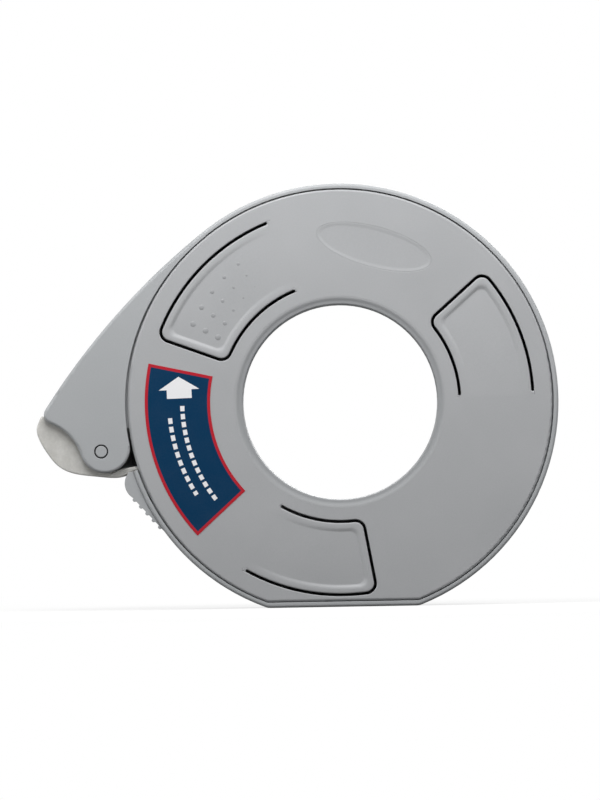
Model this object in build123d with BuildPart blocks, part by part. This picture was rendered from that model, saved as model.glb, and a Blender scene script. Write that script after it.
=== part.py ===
from build123d import *
import math
import os

os.makedirs("parts", exist_ok=True)

# A hand dispenser for masking tape. The hub axis is the Y axis, the front cover looks
# towards -Y, and the drum stands on its flat foot, at the low side of Z.

# Drum
outer_radius = 77.5
rim_wall = 1.7
foot_cut = 4.8
foot_wall = 1.85
foot_corner_radius = 5.0
depth = 56.0
rear_depth = 3.0
parting_groove = 0.3
side_plate = 2.0
rim_edge_radius = 1.0
rear_edge_radius = 1.2
spacer_margin = 12.35
spacer_width = 1.4
spacer_height = 1.0

# Front cover and its seat
seam_gap = 0.35
cover_edge_radius = 0.8
ledge_width = 2.0
ledge_thickness = 1.5
ledge_end_angle = 186
ledge_start_angle = 207
seat_gap = 0.1
tongue_angles = (75, 150, 350)
tongue_width = 12.0
tongue_wall = 1.5
tongue_length = 3.9
oval_half_length = 21.0
oval_height_share = 0.277
oval_depth = 0.4
oval_angle = 76.63
oval_share = 0.528
oval_tilt = -16

# Hub
hub_bore_radius = 34.65
hub_lip_radius = 3.0
hub_wall = 1.85
spigot_wall = 0.85
collar_depth = 5.9
collar_wall = 1.5
slip_fit = 0.1
hub_ribs = 6
hub_rib_height = 0.6
hub_rib_width = 1.4
hub_rib_margin = 6.0

# Spring tabs of the cover, with the slits on their centre lines
slit_hub_margin = 7.85
slit_rim_margin = 6.95
slit_width = 1.05
slit_corner_radius = 3.5
slit_edge_radius = 0.25
brake_root_angle = 110.2
brake_free_angle = 159.7
right_root_angle = 1.2
right_free_angle = 41.35
lower_root_angle = 238.8
lower_free_angle = 280.1
tab_root_gap = 0.15
tab_side_gap = 0.06
tab_shoulder = 1.4
tab_border = 0.9
dish_slope = 2.8
dish_depth = 1.8
root_overrun_angle = 8
bump_rows = 5
bump_lines = 3
bump_first_share = 0.25
bump_pitch_share = 0.192
bump_drift_share = 0.0173
bump_first_angle = 151.1
bump_step_angle = 6.4
bump_big_radius = 1.0
bump_small_radius = 0.45
bump_rise_share = 0.45
brake_rib_height = 0.9
brake_rib_width = 1.2
brake_rib_share = 0.46
brake_rib_angle = 153

# Sticker
label_hub_margin = 11.45
label_rim_margin = 6.15
label_thickness = 0.12
label_start_angle = 167.7
label_end_angle = 222.2

# Nose, measured from the drum's rim and from the shoe's pin
nose_tangent_angle = 128
nose_wall = 1.8
pin_angle = 190.77
pin_standoff = 9.07
tip_ahead = 21.96
tip_rise = 11.5
tip_corner_radius = 3.2
cheek_end_radius = 8.9
cheek_end_ahead = -1.34
cheek_end_rise = 1.28
cheek_join_angle = 197
cheek_gap = 0.85
cheek_gap_shift = 1.1
wall_stop = 7.3

# Screw bosses
boss_radius = 4.2
boss_inset = 5.5
boss_angles = (20, 98, 232, 310)
post_rise = 19.2
shank_radius = 1.4
thread_fit = 0.02
shank_clearance = 0.25
head_radius = 2.6
head_height = 1.6
head_clearance = 0.3
head_sink = 1.8
screw_length = 18.0
pilot_spare = 1.2
post_end_wall = 2.0
slot_reach = 1.6
slot_width = 0.7
slot_depth = 0.8

# Pin, shoe and spring
pin_radius = 2.05
pin_fit = 0.05
shoe_fit = 0.08
pin_ring_radius = 2.5
pin_ring_depth = 0.9
pin_head_radius = 3.6
pin_head_height = 1.0
pin_end_set = 0.15
shoe_side_gap = 0.4
shoe_wall = 1.8
shoe_size = 23.2
shoe_top_share = (-0.927, 0.573)
shoe_inner_top_share = (-0.720, 0.573)
shoe_face_top_share = (-0.948, 0.164)
shoe_nose_share = (-1.0, 0.349)
shoe_face_foot_share = (-0.694, -0.207)
shoe_heel_share = (-0.590, -0.280)
shoe_belly_share = (-0.483, -0.323)
shoe_belly_end_share = (0.280, -0.409)
shoe_ear_radius = 6.4
shoe_boss_radius = 3.9
shoe_boss_height = 1.6
tail_side_gap = 0.6
tail_foot_share = (0.270, -0.405)
tail_rise_share = (0.341, -0.375)
tail_bend_share = (0.457, -0.297)
tail_end_share = (0.622, -0.292)
tail_tip_share = (0.622, -0.225)
tail_back_share = (0.366, -0.254)
tail_root_share = (0.160, -0.330)
spring_wire = 0.7
spring_turns = 5
spring_pitch = 1.15
spring_gap = 0.45
spring_set = 3.0
coil_steps = 4
post_leg = 20.0
shoe_leg = 8.0
shoe_leg_angle = 25

# Cutter
blade_end_gap = 2.0
blade_length = 12.0
blade_thickness = 0.6
blade_reach = 1.2
blade_teeth = 24
tooth_height = 1.6
seat_length = 13.0
seat_thickness = 2.4
clamp_length = 7.0
clamp_thickness = 2.2
clamp_back = 4.0
blade_screw_inset = 10.0
blade_screw_radius = 1.1
blade_screw_head = 2.1
blade_screw_head_height = 1.3
blade_screw_length = 4.0
blade_screw_fit = 0.1
blade_hole_spare = 0.2

# Ribbed thumb grip below the tape exit
grip_head_angle = 197.6
grip_brow_angle = 197.5
grip_crest_angle = 201.0
grip_shoulder_angle = 203.9
grip_end_angle = 215.4
grip_brow_height = 1.7
grip_crest_height = 4.6
grip_shoulder_height = 3.5
grip_gap = 0.05
grip_set = 0.8
grip_ribs = 5
rib_radius = 0.75
rib_pitch_share = 0.203
first_rib_share = 0.27
exit_sill_share = 0.4026
exit_top_share = 0.2194
exit_ear = 2.3
exit_run = 14.0
peg_radius = 1.6
peg_angle = 208.5
peg_inset = 15.0

half_depth = depth / 2
parting = rear_depth - half_depth
rim_inner = outer_radius - rim_wall
foot_drop = outer_radius - foot_cut
foot_inner = foot_drop - foot_wall
cover_radius = rim_inner - seam_gap
cover_drop = foot_inner - seam_gap
ledge_radius = rim_inner - ledge_width
cheek_gap_radius = cover_radius + cheek_gap - cheek_gap_shift
half_slit = slit_width / 2
slit_inner_radius = hub_bore_radius + slit_hub_margin
slit_outer_radius = cover_radius - slit_rim_margin
tab_width = slit_outer_radius - slit_inner_radius
spacer_radius = hub_bore_radius + spacer_margin
label_inner_radius = hub_bore_radius + label_hub_margin
label_outer_radius = cover_radius - label_rim_margin
blade_width = depth - 2 * (side_plate + blade_end_gap)
blade_screw_spacing = blade_width - 2 * blade_screw_inset
peg_spacing = depth - 2 * peg_inset
exit_sill = outer_radius * exit_sill_share
exit_top = outer_radius * exit_top_share
pilot_depth = screw_length + head_sink - rear_depth + pilot_spare
front_boss_length = pilot_depth + post_end_wall
hub_outer = hub_bore_radius + hub_wall
spigot_outer = hub_bore_radius + spigot_wall
collar_inner = spigot_outer + slip_fit


def polar(radius, angle):
    return (radius * math.cos(math.radians(angle)), radius * math.sin(math.radians(angle)))


def shifted(point, across, rise):
    return (point[0] + across, point[1] + rise)


def at(forward):
    return Plane.XZ.offset(forward)


pin = polar(outer_radius + pin_standoff, pin_angle)
tip = shifted(pin, -tip_ahead, tip_rise)
tangent = polar(outer_radius, nose_tangent_angle)
toward_tip = (tip[0] - tangent[0], tip[1] - tangent[1])
across_arc = polar(1, nose_tangent_angle)
fall = toward_tip[0] * across_arc[0] + toward_tip[1] * across_arc[1]
nose_radius = -(toward_tip[0] ** 2 + toward_tip[1] ** 2) / (2 * fall)
nose_centre = (tangent[0] - nose_radius * across_arc[0], tangent[1] - nose_radius * across_arc[1])
tip_angle = math.degrees(math.atan2(tip[1] - nose_centre[1], tip[0] - nose_centre[0]))
wall_end_angle = tip_angle - math.degrees(wall_stop / nose_radius)
coil_radius = pin_radius + spring_gap + spring_wire / 2
spring_post = shifted(pin, coil_radius - spring_wire / 2 - slip_fit - boss_radius, post_rise)


def nose_point(radius, angle):
    return shifted(nose_centre, *polar(radius, angle))


def drum_outline(radius, drop, corner):
    """A circle cut off by the flat foot, with its two corners rounded."""
    with BuildSketch(mode=Mode.PRIVATE) as outline:
        Circle(radius)
        with Locations((0, -drop)):
            Rectangle(
                4 * radius, radius, align=(Align.CENTER, Align.MAX), mode=Mode.SUBTRACT
            )
        fillet(outline.vertices().sort_by(Axis.Y)[:2], corner)
    return outline.sketch


def wedge(start, end):
    """A sector from the hub axis that reaches past the rim, to cut rings short."""
    reach = 2 * outer_radius
    with BuildSketch(mode=Mode.PRIVATE) as sector:
        with BuildLine():
            Line((0, 0), polar(reach, start))
            CenterArc((0, 0), reach, start, end - start)
            Line(polar(reach, end), (0, 0))
        make_face()
    return sector.sketch


def cheek_outline(beside_cover):
    """The flat side of the nose, from the drum's tangent to the rounded end at the pin."""
    end_centre = shifted(pin, -cheek_end_ahead, cheek_end_rise)
    join = shifted(end_centre, *polar(cheek_end_radius, cheek_join_angle))
    bottom = shifted(end_centre, 0, -cheek_end_radius)
    side = shifted(end_centre, cheek_end_radius, 0)
    with BuildSketch(mode=Mode.PRIVATE) as cheek:
        with BuildLine():
            middle = nose_point(nose_radius, (nose_tangent_angle + tip_angle) / 2)
            ThreePointArc(tangent, middle, tip)
            TangentArc(join, tip, tangent=polar(1, cheek_join_angle - 90))
            ThreePointArc(join, bottom, side)
            Polyline(side, (0, 0), tangent)
        make_face()
        fillet(cheek.vertices().sort_by(Axis.X)[0], tip_corner_radius)
        if beside_cover:
            with Locations(polar(cheek_gap_shift, pin_angle)):
                Circle(cheek_gap_radius, mode=Mode.SUBTRACT)
    return cheek.sketch


def nose_band():
    """The nose's outer wall, tangent to the rim and short of the tip."""
    middle_angle = (nose_tangent_angle + wall_end_angle) / 2
    with BuildSketch(mode=Mode.PRIVATE) as band:
        with BuildLine():
            edges = []
            for radius in (nose_radius, nose_radius - nose_wall):
                edge = ThreePointArc(
                    nose_point(radius, nose_tangent_angle),
                    nose_point(radius, middle_angle),
                    nose_point(radius, wall_end_angle),
                )
                edges.append(edge)
            Line(edges[0] @ 0, edges[1] @ 0)
            Line(edges[0] @ 1, edges[1] @ 1)
        make_face()
    return band.sketch


def wall_band():
    """The rim and the nose's outer wall as one band, open where the tape leaves."""
    with BuildSketch(mode=Mode.PRIVATE) as band:
        add(drum_outline(outer_radius, foot_drop, foot_corner_radius))
        add(
            drum_outline(rim_inner, foot_inner, foot_corner_radius - rim_wall),
            mode=Mode.SUBTRACT,
        )
        add(wedge(nose_tangent_angle, grip_head_angle), mode=Mode.SUBTRACT)
        add(nose_band())
    return band.sketch


def tab_region(root, free, grow, shift=0.0):
    """A ring sector between the two slits, grown or shrunk from their centre lines."""
    with BuildSketch(mode=Mode.PRIVATE) as sector:
        with BuildLine():
            low = root - root_overrun_angle
            inner = CenterArc((0, 0), slit_inner_radius, low, free - low)
            outer = CenterArc((0, 0), slit_outer_radius, low, free - low)
            Line(inner @ 0, outer @ 0)
            Line(inner @ 1, outer @ 1)
        make_face()
        ends = sector.vertices().sort_by(Axis((0, 0, 0), (*polar(1, low + 90), 0)))[2:]
        fillet(ends, slit_corner_radius)
        offset(amount=grow, kind=Kind.ARC)
        with Locations(polar(shift, root + 90)):
            Rectangle(
                2 * outer_radius,
                2 * outer_radius,
                rotation=root,
                align=(Align.MIN, Align.MAX),
                mode=Mode.SUBTRACT,
            )
    return sector.sketch


def dish(root, free):
    """The hollow of a tab, deepest at the free end and level with the cover at the root."""
    with BuildPart() as hollow:
        with BuildSketch(at(half_depth)):
            add(tab_region(root, free, -half_slit - tab_border))
        with BuildSketch(at(half_depth - dish_depth)):
            add(tab_region(root, free, -half_slit - tab_border - dish_slope))
        loft(ruled=True)
        reach = slit_outer_radius * math.sin(math.radians(free - root))
        along = polar(dish_depth, root + 90)
        across = polar(1, root)
        floor = Plane(
            origin=(0, -half_depth, 0),
            x_dir=(across[0], 0, across[1]),
            z_dir=(along[0], -reach, along[1]),
        )
        split(bisect_by=floor, keep=Keep.TOP)
    return hollow.part


def make_tab(label, root, free):
    """One spring tab of the cover: a plate pressed into a dish, with its slit ends rounded."""
    tip_shift = tab_shoulder / (slit_inner_radius + slit_outer_radius) * 2
    tip_at = root + math.degrees(tip_shift)
    hollow = dish(root, free)
    with BuildPart() as tab:
        with BuildSketch(at(half_depth)):
            add(tab_region(root, free, half_slit - tab_side_gap, tab_root_gap))
            add(tab_region(tip_at, free, half_slit + slit_width), mode=Mode.SUBTRACT)
            add(tab_region(root, free, -half_slit, tab_root_gap))
            with Locations(polar(slit_inner_radius, tip_at), polar(slit_outer_radius, tip_at)):
                Circle(half_slit, mode=Mode.SUBTRACT)
        extrude(amount=-side_plate)
        add(hollow.moved(Location((0, side_plate, 0))))
        add(hollow, mode=Mode.SUBTRACT)
    tab.part.label = label
    return tab


def beside_slit(edge):
    """True for the front edges of the cover's slits, but not at the roots of its tabs."""
    middle = edge.center()
    radius = math.hypot(middle.X, middle.Z)
    inside = slit_inner_radius - slit_width < radius < slit_outer_radius + slit_width
    return inside and middle.Y < slit_edge_radius - half_depth


# Front cover
tab_angles = (
    (brake_root_angle, brake_free_angle),
    (right_root_angle, right_free_angle),
    (lower_root_angle, lower_free_angle),
)
with BuildPart() as front_cover:
    with BuildSketch(at(half_depth)):
        add(drum_outline(cover_radius, cover_drop, foot_corner_radius - rim_wall))
        Circle(hub_bore_radius + hub_lip_radius, mode=Mode.SUBTRACT)
    extrude(amount=-side_plate)
    front_rim = front_cover.faces().sort_by(Axis.Y)[0].outer_wire().edges()
    fillet(front_rim, cover_edge_radius)
    with BuildSketch(at(half_depth)):
        for root, free in tab_angles:
            add(tab_region(root, free, half_slit))
    extrude(amount=-side_plate, mode=Mode.SUBTRACT)
    slit_edges = front_cover.edges().filter_by(GeomType.CIRCLE).filter_by(beside_slit)
    fillet(slit_edges, slit_edge_radius)
    with BuildSketch(at(half_depth)):
        with Locations(polar(slit_inner_radius + tab_width * oval_share, oval_angle)):
            Ellipse(oval_half_length, tab_width * oval_height_share, rotation=oval_tilt)
    extrude(amount=-oval_depth, mode=Mode.SUBTRACT)
    with BuildSketch(Plane.XY):
        with BuildLine():
            bend = hub_bore_radius + hub_lip_radius
            lip_back = -half_depth + hub_lip_radius
            Line((bend, -half_depth), (bend, -half_depth + side_plate))
            Line((bend, -half_depth + side_plate), (collar_inner + collar_wall, -half_depth + side_plate))
            Line(
                (collar_inner + collar_wall, -half_depth + side_plate),
                (collar_inner + collar_wall, -half_depth + collar_depth),
            )
            Line(
                (collar_inner + collar_wall, -half_depth + collar_depth),
                (collar_inner, -half_depth + collar_depth),
            )
            Line((collar_inner, -half_depth + collar_depth), (collar_inner, lip_back))
            Line((collar_inner, lip_back), (hub_bore_radius, lip_back))
            RadiusArc((hub_bore_radius, lip_back), (bend, -half_depth), -hub_lip_radius)
        make_face()
    revolve(axis=Axis.Y)
    for angle in tongue_angles:
        with BuildSketch(at(half_depth - side_plate)):
            with Locations(Location(polar(ledge_radius - seam_gap, angle), angle)):
                Rectangle(tongue_wall, tongue_width, align=(Align.MAX, Align.CENTER))
        extrude(amount=-tongue_length)
front_cover.part.label = "front_cover"

# Spring tabs
right_guide_tab = make_tab("right_guide_tab", right_root_angle, right_free_angle)
lower_guide_tab = make_tab("lower_guide_tab", lower_root_angle, lower_free_angle)


def floor_depth(spot, root, free):
    """How deep a tab's dish is at this place, below the face of the cover."""
    reach = slit_outer_radius * math.sin(math.radians(free - root))
    along = polar(1, root + 90)
    return dish_depth * (spot[0] * along[0] + spot[1] * along[1]) / reach


# The brake tab's dots, which grow towards its free end, and the rib under it
with BuildPart() as brake_tab:
    add(make_tab("brake_tab", brake_root_angle, brake_free_angle).part)
    for row in range(bump_rows):
        shrink = row / (bump_rows - 1)
        dot = bump_big_radius + (bump_small_radius - bump_big_radius) * shrink
        for line in range(bump_lines):
            share = bump_first_share + line * bump_pitch_share + row * bump_drift_share
            spot = polar(slit_inner_radius + tab_width * share, bump_first_angle - row * bump_step_angle)
            sink = dot * (1 - bump_rise_share) + floor_depth(spot, brake_root_angle, brake_free_angle)
            with Locations((spot[0], sink - half_depth, spot[1])):
                Sphere(dot)
    with BuildSketch(at(half_depth - side_plate)):
        middle = (slit_inner_radius + slit_outer_radius) / 2
        with Locations(Location(polar(middle, brake_rib_angle), brake_rib_angle)):
            Rectangle(tab_width * brake_rib_share, brake_rib_width)
    extrude(amount=-dish_depth - brake_rib_height)
brake_tab.part.label = "brake_tab"


def boss_places():
    """The screw posts: four around the rim and one in the nose, above the pin."""
    return [polar(outer_radius - boss_inset, angle) for angle in boss_angles] + [spring_post]


def cheek_strip():
    """The part of the cover's seat that hangs under the cheek, beside the cover."""
    far = cheek_gap_radius + cheek_gap_shift + seam_gap / 2
    with BuildSketch(mode=Mode.PRIVATE) as strip:
        Circle(far + ledge_width)
        Circle(far, mode=Mode.SUBTRACT)
        add(wedge(nose_tangent_angle, ledge_end_angle), mode=Mode.INTERSECT)
        add(cheek_outline(False), mode=Mode.INTERSECT)
    return strip.sketch


def is_outer(edge):
    """True for the edges of the front face that are not beside the cover."""
    middle = edge.center()
    return math.hypot(middle.X, middle.Z) > cheek_gap_radius + cheek_gap_shift + seam_gap


def blade_plane(lift):
    """A plane on the inside of the nose's roof, with its X axis towards the tip."""
    outer = Vector(*nose_point(nose_radius, wall_end_angle))
    radial = Vector(*polar(1, wall_end_angle))
    spot = outer - radial * lift
    return Plane(
        origin=(spot.X, 0, spot.Y),
        x_dir=(-radial.Y, 0, radial.X),
        z_dir=(-radial.X, 0, -radial.Y),
    )


def blade_seat():
    """The flat pad under the cutter, on the inside of the nose's roof."""
    with BuildPart(mode=Mode.PRIVATE) as seat:
        with BuildSketch(blade_plane(seat_thickness)):
            Rectangle(seat_length, blade_width, align=(Align.MAX, Align.CENTER))
        extrude(amount=nose_wall / 2 - seat_thickness)
    return seat.part


def shadow_line():
    """The narrow groove all round the body where its two shells meet."""
    with BuildSketch(mode=Mode.PRIVATE) as body:
        add(drum_outline(outer_radius, foot_drop, foot_corner_radius))
        add(cheek_outline(False))
    with BuildPart(mode=Mode.PRIVATE) as groove:
        with BuildSketch(at(parting + parting_groove / 2)):
            add(offset(body.sketch, amount=parting_groove, mode=Mode.PRIVATE))
            add(offset(body.sketch, amount=-parting_groove, mode=Mode.PRIVATE), mode=Mode.SUBTRACT)
        extrude(amount=-parting_groove)
    return groove.part


def blade_screw_places(lift):
    """The two cutter screws, standing on the plane at this distance from the roof."""
    spots = []
    for side in (-1, 1):
        frame = blade_plane(lift)
        spots.append(frame.location * Location((-clamp_back, side * blade_screw_spacing / 2, 0)))
    return spots


def peg_places():
    """Where the thumb grip's two pegs pass through the rim, square to it."""
    spots = []
    for side in (-1, 1):
        foot = polar(rim_inner, peg_angle)
        spots.append(
            Location(
                Plane(
                    origin=(foot[0], side * peg_spacing / 2, foot[1]),
                    x_dir=(0, 1, 0),
                    z_dir=(foot[0], 0, foot[1]),
                )
            )
        )
    return spots


def exit_window():
    """The opening in the rim that the tape leaves through, between two ears."""
    with BuildPart(mode=Mode.PRIVATE) as window:
        with BuildSketch(at(half_depth - exit_ear)):
            with Locations((-outer_radius, -exit_sill)):
                Rectangle(2 * exit_run, exit_sill - exit_top, align=(Align.CENTER, Align.MIN))
        extrude(amount=2 * exit_ear - depth)
    return window.part


# Front housing: the deep shell with the rim, the nose's roof and its front cheek
with BuildPart() as front_housing:
    with BuildSketch(at(half_depth)):
        add(wall_band())
    extrude(amount=rear_depth - depth)
    with BuildSketch(at(half_depth)):
        add(cheek_outline(True))
    extrude(amount=-side_plate)
    with BuildSketch(at(half_depth - side_plate)):
        add(cheek_strip())
    extrude(amount=-seat_gap - ledge_thickness)
    with BuildSketch(at(half_depth - side_plate - seat_gap)):
        add(drum_outline(rim_inner + seam_gap, foot_inner + seam_gap, foot_corner_radius))
        add(
            drum_outline(ledge_radius, foot_inner - ledge_width, foot_corner_radius),
            mode=Mode.SUBTRACT,
        )
        add(wedge(nose_tangent_angle, ledge_start_angle), mode=Mode.SUBTRACT)
        with BuildSketch(mode=Mode.PRIVATE) as nose_ledge:
            Circle(cheek_gap_radius + cheek_gap_shift + seam_gap)
            Circle(ledge_radius, mode=Mode.SUBTRACT)
            add(wedge(nose_tangent_angle, ledge_end_angle), mode=Mode.INTERSECT)
        add(nose_ledge.sketch)
    extrude(amount=-ledge_thickness)
    with BuildSketch(at(parting)):
        with Locations(*boss_places()):
            Circle(boss_radius)
    extrude(amount=front_boss_length)
    with BuildSketch(at(parting)):
        with Locations(spring_post):
            Circle(boss_radius)
    extrude(amount=depth - rear_depth - side_plate)
    with BuildSketch(at(parting)):
        with Locations(*boss_places()):
            Circle(shank_radius + thread_fit)
    extrude(amount=pilot_depth, mode=Mode.SUBTRACT)
    add(blade_seat())
    add(exit_window(), mode=Mode.SUBTRACT)
    add(shadow_line(), mode=Mode.SUBTRACT)
    with BuildSketch(at(half_depth)):
        with Locations(pin):
            Circle(pin_radius + pin_fit)
    extrude(amount=-side_plate, mode=Mode.SUBTRACT)
    with BuildSketch(at(half_depth)):
        with Locations(pin):
            Circle(pin_ring_radius)
    extrude(amount=-pin_ring_depth, mode=Mode.SUBTRACT)
    with Locations(*peg_places()):
        Cylinder(peg_radius + slip_fit, 4 * rim_wall, mode=Mode.SUBTRACT)
    with Locations(*blade_screw_places(seat_thickness)):
        Cylinder(
            blade_screw_radius + thread_fit,
            blade_screw_length - clamp_thickness - blade_thickness + blade_hole_spare,
            align=(Align.CENTER, Align.CENTER, Align.MAX),
            mode=Mode.SUBTRACT,
        )
    front = front_housing.faces().sort_by(Axis.Y)[0]
    fillet([edge for edge in front.outer_wire().edges() if is_outer(edge)], rim_edge_radius)
front_housing.part.label = "front_housing"

# Rear housing: the flat shell with the hub tube, held by five screws
with BuildPart() as rear_housing:
    with BuildSketch(at(-half_depth)):
        add(drum_outline(outer_radius, foot_drop, foot_corner_radius))
        add(cheek_outline(False))
    extrude(amount=side_plate)
    fillet(rear_housing.faces().sort_by(Axis.Y)[-1].outer_wire().edges(), rear_edge_radius)
    with BuildSketch(at(parting)):
        add(wall_band())
        with Locations(*boss_places()):
            Circle(boss_radius)
    extrude(amount=side_plate - rear_depth)
    with BuildSketch(at(side_plate - half_depth)):
        Circle(spacer_radius)
        Circle(spacer_radius - spacer_width, mode=Mode.SUBTRACT)
    extrude(amount=spacer_height)
    with BuildSketch(at(side_plate - half_depth)):
        Circle(hub_outer)
        with PolarLocations(hub_outer, hub_ribs):
            Rectangle(2 * hub_rib_height, hub_rib_width)
    extrude(amount=depth - side_plate - collar_depth - hub_rib_margin)
    with BuildSketch(at(side_plate - half_depth)):
        Circle(hub_outer)
    extrude(amount=depth - side_plate - collar_depth - seam_gap)
    with BuildSketch(at(side_plate - half_depth)):
        Circle(spigot_outer)
    extrude(amount=depth - side_plate - hub_lip_radius - slip_fit)
    with BuildSketch(Plane.XY):
        with BuildLine():
            Polyline(
                (hub_bore_radius + hub_lip_radius, half_depth),
                (0, half_depth),
                (0, -half_depth),
                (hub_bore_radius, -half_depth),
                (hub_bore_radius, half_depth - hub_lip_radius),
            )
            RadiusArc(
                (hub_bore_radius, half_depth - hub_lip_radius),
                (hub_bore_radius + hub_lip_radius, half_depth),
                hub_lip_radius,
            )
        make_face()
    revolve(axis=Axis.Y, mode=Mode.SUBTRACT)
    with BuildSketch(at(-half_depth)):
        with Locations(*boss_places()):
            Circle(shank_radius + shank_clearance)
    extrude(amount=rear_depth, mode=Mode.SUBTRACT)
    with BuildSketch(at(-half_depth)):
        with Locations(*boss_places()):
            Circle(head_radius + head_clearance)
    extrude(amount=head_sink, mode=Mode.SUBTRACT)
    with BuildSketch(at(-half_depth)):
        with Locations(pin):
            Circle(pin_radius + pin_fit)
    extrude(amount=side_plate, mode=Mode.SUBTRACT)
    with BuildSketch(at(-half_depth)):
        with Locations(pin):
            Circle(pin_head_radius + slip_fit)
    extrude(amount=pin_head_height + slip_fit, mode=Mode.SUBTRACT)
    add(exit_window(), mode=Mode.SUBTRACT)
    add(shadow_line(), mode=Mode.SUBTRACT)
rear_housing.part.label = "rear_housing"

# Housing screws, their heads sunk in the rear posts
with BuildPart() as housing_screws:
    with BuildSketch(at(head_sink - half_depth)):
        with Locations(*boss_places()):
            Circle(shank_radius)
    extrude(amount=screw_length)
    chamfer(housing_screws.faces().group_by(Axis.Y)[0].edges(), shank_radius / 2)
    with BuildSketch(at(head_sink - half_depth)):
        with Locations(*boss_places()):
            Circle(head_radius)
    extrude(amount=-head_height)
    backs = housing_screws.faces().group_by(Axis.Y)[-1]
    fillet(backs.edges(), head_height / 3)
    with BuildSketch(at(head_sink - half_depth - head_height)):
        with Locations(*boss_places()):
            Rectangle(2 * slot_reach, slot_width)
            Rectangle(slot_width, 2 * slot_reach)
    extrude(amount=slot_depth, mode=Mode.SUBTRACT)
housing_screws.part.label = "housing_screws"

# Thumb grip: a ribbed wedge on the rim, just below the tape exit
def grip_point(height, angle):
    return polar(outer_radius + height, angle)


with BuildPart() as thumb_grip:
    with BuildSketch(at(half_depth - grip_set)):
        shoulder = grip_point(grip_shoulder_height, grip_shoulder_angle)
        toe = grip_point(0, grip_end_angle)
        with BuildLine():
            Line(grip_point(-rim_wall, grip_head_angle), grip_point(grip_brow_height, grip_brow_angle))
            ThreePointArc(
                grip_point(grip_brow_height, grip_brow_angle),
                grip_point(grip_crest_height, grip_crest_angle),
                shoulder,
            )
            Polyline(shoulder, toe, (0, 0), grip_point(-rim_wall, grip_head_angle))
        make_face()
        for index in range(grip_ribs):
            share = rib_pitch_share * (index + first_rib_share)
            across = share * (toe[0] - shoulder[0])
            with Locations(shifted(shoulder, across, share * (toe[1] - shoulder[1]))):
                Circle(rib_radius)
        Circle(outer_radius + grip_gap, mode=Mode.SUBTRACT)
    extrude(amount=grip_set - depth)
    add(exit_window(), mode=Mode.SUBTRACT)
    with Locations(*peg_places()):
        Cylinder(peg_radius, rim_wall + rib_radius, align=(Align.CENTER, Align.CENTER, Align.MIN))
thumb_grip.part.label = "thumb_grip"


def shoe_point(share):
    return shifted(pin, shoe_size * share[0], shoe_size * share[1])


def shoe_skin():
    """The curved face that presses the tape on, as a line of constant wall."""
    with BuildSketch(mode=Mode.PRIVATE) as skin:
        with BuildLine():
            ThreePointArc(
                shoe_point(shoe_top_share), shoe_point(shoe_nose_share), shoe_point(shoe_face_top_share)
            )
            Line(shoe_point(shoe_face_top_share), shoe_point(shoe_face_foot_share))
            ThreePointArc(
                shoe_point(shoe_face_foot_share), shoe_point(shoe_heel_share), shoe_point(shoe_belly_share)
            )
            Line(shoe_point(shoe_belly_share), shoe_point(shoe_belly_end_share))
            offset(amount=shoe_wall, side=Side.LEFT)
        make_face()
    return skin.sketch


def shoe_side():
    """The side wall of the shoe, with a round ear about the pin."""
    with BuildSketch(mode=Mode.PRIVATE) as side:
        with BuildLine():
            ThreePointArc(
                shoe_point(shoe_top_share), shoe_point(shoe_nose_share), shoe_point(shoe_face_top_share)
            )
            Line(shoe_point(shoe_face_top_share), shoe_point(shoe_face_foot_share))
            ThreePointArc(
                shoe_point(shoe_face_foot_share), shoe_point(shoe_heel_share), shoe_point(shoe_belly_share)
            )
            Polyline(
                shoe_point(shoe_belly_share),
                shoe_point(shoe_belly_end_share),
                shifted(pin, shoe_ear_radius, 0),
                shifted(pin, 0, shoe_ear_radius),
                shoe_point(shoe_inner_top_share),
                shoe_point(shoe_top_share),
            )
        make_face()
        with Locations(pin):
            Circle(shoe_ear_radius)
    return side.sketch


# Applicator shoe: an open tray of frosted plastic that swings on the pin
shoe_half_width = half_depth - side_plate - shoe_side_gap
with BuildPart() as applicator_shoe:
    for forward in (shoe_half_width, shoe_wall - shoe_half_width):
        with BuildSketch(at(forward)):
            add(shoe_side())
        extrude(amount=-shoe_wall)
    with BuildSketch(at(shoe_half_width)):
        add(shoe_skin())
    extrude(amount=-2 * shoe_half_width)
    with BuildSketch(at(shoe_half_width - tail_side_gap)):
        with BuildLine():
            Polyline(
                shoe_point(tail_foot_share),
                shoe_point(tail_rise_share),
                shoe_point(tail_bend_share),
                shoe_point(tail_end_share),
                shoe_point(tail_tip_share),
                shoe_point(tail_back_share),
                shoe_point(tail_root_share),
                close=True,
            )
        make_face()
    extrude(amount=2 * (tail_side_gap - shoe_half_width))
    for forward in (shoe_half_width - shoe_wall, shoe_wall - shoe_half_width + shoe_boss_height):
        with BuildSketch(at(forward)):
            with Locations(pin):
                Circle(shoe_boss_radius)
        extrude(amount=-shoe_boss_height)
    with BuildSketch(at(shoe_half_width)):
        with Locations(pin):
            Circle(pin_radius + shoe_fit)
    extrude(amount=-2 * shoe_half_width, mode=Mode.SUBTRACT)
applicator_shoe.part.label = "applicator_shoe"

# Pin of the shoe, put in from the rear
with BuildPart() as shoe_pin:
    with BuildSketch(at(pin_head_height - half_depth)):
        with Locations(pin):
            Circle(pin_radius)
    extrude(amount=depth - pin_head_height - pin_end_set)
    chamfer(shoe_pin.faces().sort_by(Axis.Y)[0].edges(), pin_end_set)
    with BuildSketch(at(pin_head_height - half_depth)):
        with Locations(pin):
            Circle(pin_head_radius)
    extrude(amount=-pin_head_height)
    fillet(shoe_pin.faces().sort_by(Axis.Y)[-1].edges(), pin_head_height / 3)
shoe_pin.part.label = "shoe_pin"

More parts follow.
